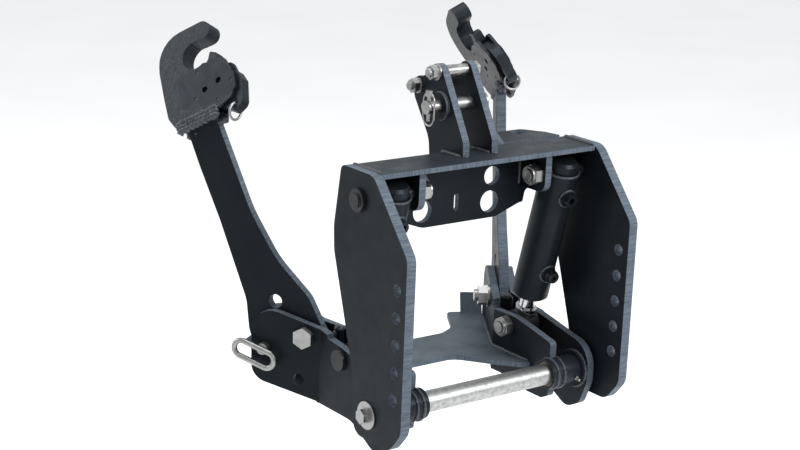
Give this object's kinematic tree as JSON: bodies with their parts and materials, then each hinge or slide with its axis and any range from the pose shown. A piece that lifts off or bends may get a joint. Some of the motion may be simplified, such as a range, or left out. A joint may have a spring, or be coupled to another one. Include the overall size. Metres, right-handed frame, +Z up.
{
  "type": "front three-point linkage",
  "caption": "Tractor front linkage: bolted frame, hydraulic lift frame on a lower shaft and folding lower arms with latched quick-coupler hooks.",
  "frame": {"origin": "middle of the lower pivot shaft", "axes": "+X along the shaft to the right seen from the tractor, +Y forward away from the tractor, +Z up"},
  "size_m": [0.803, 0.6768, 0.713],
  "materials": {
    "coat": "satin anthracite powder coat",
    "coat_light": "satin blue-grey powder coat in the light",
    "forged": "powder coat over a rough forging",
    "zinc": "bright zinc plate",
    "galvanised": "mottled galvanised bar",
    "black_steel": "black oxide",
    "chrome": "hard chrome, ground",
    "bronze": "plain bearing bronze"
  },
  "bodies": {
    "base_frame": {"side_plate_left": "coat", "side_plate_right": "coat", "cross_top_plate": "coat", "cross_web_plate": "coat", "cylinder_lugs": "coat", "tower_plate_left": "coat", "tower_plate_right": "coat", "coupler_plate": "coat", "tower_bolts": "zinc", "tower_nuts": "zinc", "tower_spacers": "zinc", "pivot_shaft": "galvanised", "shaft_end_washers": "zinc", "shaft_end_bolts": "zinc", "cylinder_top_pins": "black_steel", "cylinder_top_nuts": "zinc"},
    "top_pin_body": {"top_link_pin": "zinc"},
    "linch_body": {"linch_pin": "zinc"},
    "lift_frame": {"rocker_inner_plate_left": "coat", "rocker_inner_plate_right": "coat", "rocker_outer_plate_left": "coat", "rocker_outer_plate_right": "coat", "rocker_cross_plate": "coat_light", "rocker_webs": "coat", "hub_tube_left": "coat", "hub_tube_right": "coat", "hub_bushes": "bronze", "grease_nipples": "zinc", "arm_pivot_bolts": "zinc", "arm_pivot_nuts": "zinc", "rod_pins": "black_steel", "rod_pin_nuts": "zinc"},
    "arm_left": {"lower_arm_left": "coat", "hook_left": "forged", "hook_covers_left": "forged", "hook_pins_left": "black_steel", "latch_spring_left": "zinc"},
    "latch_body_left": {"latch_left": "forged"},
    "lever_body_left": {"release_lever_left": "forged"},
    "ring_body_left": {"pull_ring_left": "zinc"},
    "lock_body_left": {"lock_pin_left": "zinc"},
    "barrel_body_left": {"cylinder_barrel_left": "coat", "cylinder_gland_left": "coat", "port_plug_left": "black_steel"},
    "rod_body_left": {"piston_rod_left": "chrome", "piston_left": "black_steel"},
    "arm_right": {"lower_arm_right": "coat", "hook_right": "forged", "hook_covers_right": "forged", "hook_pins_right": "black_steel", "latch_spring_right": "zinc"},
    "latch_body_right": {"latch_right": "forged"},
    "lever_body_right": {"release_lever_right": "forged"},
    "ring_body_right": {"pull_ring_right": "zinc"},
    "lock_body_right": {"lock_pin_right": "zinc"},
    "barrel_body_right": {"cylinder_barrel_right": "coat", "cylinder_gland_right": "coat", "port_plug_right": "black_steel"},
    "rod_body_right": {"piston_rod_right": "chrome", "piston_right": "black_steel"}
  },
  "joints": [
    {"name": "lift", "type": "hinge", "parent": "base_frame", "child": "lift_frame", "pos_m": [0, 0, 0], "axis": [1, 0, 0], "range_deg": [-38, 4]},
    {"name": "top_pin_slide", "type": "slide", "parent": "base_frame", "child": "top_pin_body", "axis": [1, 0, 0], "range_m": [0, 0.0135]},
    {"name": "linch_pin_slide", "type": "slide", "parent": "top_pin_body", "child": "linch_body", "axis": [0, 0, 1], "range_m": [0, 0.019]},
    {"name": "arm_fold_left", "type": "hinge", "parent": "lift_frame", "child": "arm_left", "pos_m": [-0.2325, 0.2365, 0.0787], "axis": [0.8387, 0.5446, 0], "range_deg": [-60.5, 0]},
    {"name": "latch_swing_left", "type": "hinge", "parent": "arm_left", "child": "latch_body_left", "pos_m": [-0.35194, 0.44273, 0.49187], "axis": [0.8494, 0.2318, -0.474], "range_deg": [0, 25], "stiffness_Nm_per_rad": 0.6, "springref_deg": -17.19},
    {"name": "lever_swing_left", "type": "hinge", "parent": "arm_left", "child": "lever_body_left", "pos_m": [-0.33476, 0.39428, 0.49895], "axis": [0.8494, 0.2318, -0.474], "range_deg": [0, 25]},
    {"name": "pull_ring_swing_left", "type": "hinge", "parent": "lever_body_left", "child": "ring_body_left", "pos_m": [-0.32377, 0.35934, 0.50157], "axis": [0.8494, 0.2318, -0.474], "range_deg": [-12, 12]},
    {"name": "lock_pin_slide_left", "type": "slide", "parent": "lift_frame", "child": "lock_body_left", "axis": [0.8387, 0.5446, 0], "range_m": [0, 0.011]},
    {"name": "barrel_swing_left", "type": "hinge", "parent": "base_frame", "child": "barrel_body_left", "pos_m": [-0.1975, 0.046, 0.385], "axis": [1, 0, 0], "range_deg": [-5, 5]},
    {"name": "rod_slide_left", "type": "slide", "parent": "barrel_body_left", "child": "rod_body_left", "axis": [0, 0.2492, -0.9684], "range_m": [-0.015, 0.11]},
    {"name": "arm_fold_right", "type": "hinge", "parent": "lift_frame", "child": "arm_right", "pos_m": [0.2325, 0.2365, 0.0787], "axis": [0.8387, -0.5446, 0], "range_deg": [-60.5, 0]},
    {"name": "latch_swing_right", "type": "hinge", "parent": "arm_right", "child": "latch_body_right", "pos_m": [0.35194, 0.44273, 0.49187], "axis": [0.8494, -0.2318, 0.474], "range_deg": [0, 25], "stiffness_Nm_per_rad": 0.6, "springref_deg": -17.19},
    {"name": "lever_swing_right", "type": "hinge", "parent": "arm_right", "child": "lever_body_right", "pos_m": [0.33476, 0.39428, 0.49895], "axis": [0.8494, -0.2318, 0.474], "range_deg": [0, 25]},
    {"name": "pull_ring_swing_right", "type": "hinge", "parent": "lever_body_right", "child": "ring_body_right", "pos_m": [0.32377, 0.35934, 0.50157], "axis": [0.8494, -0.2318, 0.474], "range_deg": [-12, 12]},
    {"name": "lock_pin_slide_right", "type": "slide", "parent": "lift_frame", "child": "lock_body_right", "axis": [-0.8387, 0.5446, 0], "range_m": [0, 0.011]},
    {"name": "barrel_swing_right", "type": "hinge", "parent": "base_frame", "child": "barrel_body_right", "pos_m": [0.1975, 0.046, 0.385], "axis": [1, 0, 0], "range_deg": [-5, 5]},
    {"name": "rod_slide_right", "type": "slide", "parent": "barrel_body_right", "child": "rod_body_right", "axis": [0, 0.2492, -0.9684], "range_m": [-0.015, 0.11]}
  ],
  "couplings": [
    {"joint": "lever_swing_left", "follows": "latch_swing_left", "ratio": 1},
    {"joint": "barrel_swing_left", "follows": "lift", "ratio": 0.0349},
    {"joint": "rod_slide_left", "follows": "lift", "m_per_rad": -0.1402},
    {"joint": "lever_swing_right", "follows": "latch_swing_right", "ratio": 1},
    {"joint": "barrel_swing_right", "follows": "lift", "ratio": 0.0349},
    {"joint": "rod_slide_right", "follows": "lift", "m_per_rad": -0.1402}
  ]
}
